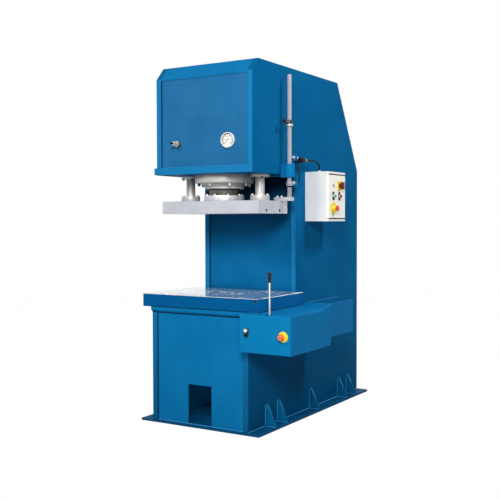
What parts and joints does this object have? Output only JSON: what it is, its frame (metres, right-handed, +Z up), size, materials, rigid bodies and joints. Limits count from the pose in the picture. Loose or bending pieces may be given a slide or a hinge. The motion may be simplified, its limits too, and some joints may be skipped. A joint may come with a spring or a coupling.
{
  "type": "hydraulic press",
  "caption": "Floor-standing C-frame hydraulic press: guided ram over a drilled table, side console with hand lever, control box, stroke rod with adjustable stop.",
  "frame": {"origin": "floor level, on the centre plane, at the front edge of the frame's side plates", "axes": "+X to the machine's right as seen by the operator in front, +Y towards the back, +Z up"},
  "size_m": [1.209, 1.8058, 2.4],
  "materials": {
    "blue_paint": "smooth machine enamel, medium blue",
    "table_paint": "medium blue enamel on the sides, bare machined top",
    "light_enamel": "semi-gloss light grey enamel",
    "zinc_steel": "zinc-plated",
    "machined_steel": "ground and lightly oiled steel plate",
    "turned_steel": "fine turned steel",
    "ground_rod": "hard-chromed and ground",
    "black_rubber": "matte",
    "white_dial": null,
    "clear_glass": "clear",
    "black_enamel": "semi-gloss black",
    "black_plastic": "satin black",
    "signal_red": "glossy red",
    "signal_yellow": "satin yellow",
    "button_green": "glossy green",
    "button_white": "glossy white",
    "grey_metal": "satin die-cast",
    "sensor_metal": "nickel-plated brass",
    "cable_black": "matte",
    "grey_enamel": "semi-gloss grey"
  },
  "bodies": {
    "frame": {"base_plate": "blue_paint", "side_plate_left": "blue_paint", "side_plate_right": "blue_paint", "base_front_panel": "blue_paint", "table_rest_plate": "blue_paint", "table": "table_paint", "throat_plate": "blue_paint", "head_front_panel": "blue_paint", "roof_plate": "blue_paint", "rear_panel": "blue_paint", "rear_cover": "blue_paint", "cylinder_mount_plate": "blue_paint", "cylinder_barrel": "turned_steel", "cylinder_gland": "turned_steel", "rod_wiper": "black_rubber", "head_screws": "zinc_steel", "guide_bushes": "turned_steel", "rod_guide": "blue_paint", "sensor_bracket": "blue_paint", "sensors": "sensor_metal", "sensor_cables": "cable_black", "cable_junction": "black_plastic", "control_conduit": "cable_black", "gauge_case": "turned_steel", "gauge_dial": "white_dial", "gauge_glass": "clear_glass", "relief_valve": "black_enamel", "console_housing": "blue_paint", "lever_valve": "grey_enamel", "console_stop_base": "signal_yellow", "twin_bezel": "grey_metal", "control_box": "light_enamel", "oil_tank": "grey_enamel", "motor_pump": "grey_enamel", "pressure_pipe": "turned_steel"},
    "ram": {"ram_plate": "machined_steel", "piston_rod": "ground_rod", "ram_flange": "turned_steel", "guide_columns": "ground_rod", "ram_screws": "zinc_steel", "stroke_arm": "turned_steel", "stroke_rod": "turned_steel"},
    "stop_collar": {"stop_collar": "black_enamel"},
    "clamp_knob": {"clamp_knob": "black_plastic"},
    "hand_lever": {"hand_lever": "turned_steel", "lever_grip": "black_plastic"},
    "console_stop_button": {"console_stop_button": "signal_red"},
    "console_push_button": {"console_push_button": "button_white"},
    "console_selector": {"console_selector": "black_plastic"},
    "box_door": {"box_door": "light_enamel", "main_switch_plate": "signal_yellow", "button_bezels": "black_plastic", "box_stop_base": "signal_yellow"},
    "main_switch_handle": {"main_switch_handle": "signal_red"},
    "start_button": {"start_button": "button_green"},
    "stop_button": {"stop_button": "signal_red"},
    "box_stop_button": {"box_stop_button": "signal_red"},
    "door_lock": {"door_lock": "grey_metal"},
    "gauge_needle": {"gauge_needle": "black_enamel"},
    "relief_knob": {"relief_knob": "black_plastic"}
  },
  "joints": [
    {"name": "ram_stroke", "type": "slide", "parent": "frame", "child": "ram", "axis": [0, 0, 1], "range_m": [-0.25, 0]},
    {"name": "stop_collar_setting", "type": "slide", "parent": "ram", "child": "stop_collar", "axis": [0, 0, 1], "range_m": [0, 0.28]},
    {"name": "clamp_knob_turn", "type": "hinge", "parent": "stop_collar", "child": "clamp_knob", "pos_m": [0.437, 0.391, 2.017], "axis": [0, -1, 0], "range_deg": [-180, 180]},
    {"name": "hand_lever_tilt", "type": "hinge", "parent": "frame", "child": "hand_lever", "pos_m": [0.562, -0.04, 0.72], "axis": [1, 0, 0], "range_deg": [-25, 25], "stiffness_Nm_per_rad": 8},
    {"name": "console_stop_press", "type": "slide", "parent": "frame", "child": "console_stop_button", "axis": [0, 1, 0], "range_m": [0, 0.006], "stiffness_N_per_m": 800},
    {"name": "console_push_press", "type": "slide", "parent": "frame", "child": "console_push_button", "axis": [0, 1, 0], "range_m": [0, 0.004], "stiffness_N_per_m": 500},
    {"name": "console_selector_turn", "type": "hinge", "parent": "frame", "child": "console_selector", "pos_m": [0.428, -0.098, 0.657], "axis": [0, -1, 0], "range_deg": [-45, 45]},
    {"name": "box_door_swing", "type": "hinge", "parent": "frame", "child": "box_door", "pos_m": [0.541, 1.06, 1.5295], "axis": [0, 0, 1], "range_deg": [0, 110]},
    {"name": "main_switch_turn", "type": "hinge", "parent": "box_door", "child": "main_switch_handle", "pos_m": [0.567, 0.95, 1.608], "axis": [1, 0, 0], "range_deg": [0, 90]},
    {"name": "start_press", "type": "slide", "parent": "box_door", "child": "start_button", "axis": [-1, 0, 0], "range_m": [0, 0.004], "stiffness_N_per_m": 500},
    {"name": "stop_press", "type": "slide", "parent": "box_door", "child": "stop_button", "axis": [-1, 0, 0], "range_m": [0, 0.004], "stiffness_N_per_m": 500},
    {"name": "box_stop_press", "type": "slide", "parent": "box_door", "child": "box_stop_button", "axis": [-1, 0, 0], "range_m": [0, 0.006], "stiffness_N_per_m": 800},
    {"name": "door_lock_turn", "type": "hinge", "parent": "box_door", "child": "door_lock", "pos_m": [0.561, 0.855, 1.608], "axis": [1, 0, 0], "range_deg": [0, 90]},
    {"name": "gauge_needle_turn", "type": "hinge", "parent": "frame", "child": "gauge_needle", "pos_m": [0.196, 0.055, 1.881], "axis": [0, 1, 0], "range_deg": [0, 270], "stiffness_Nm_per_rad": 0.002},
    {"name": "relief_knob_turn", "type": "hinge", "parent": "frame", "child": "relief_knob", "pos_m": [-0.198, -0.01, 1.873], "axis": [0, -1, 0], "range_deg": [-180, 180]}
  ]
}
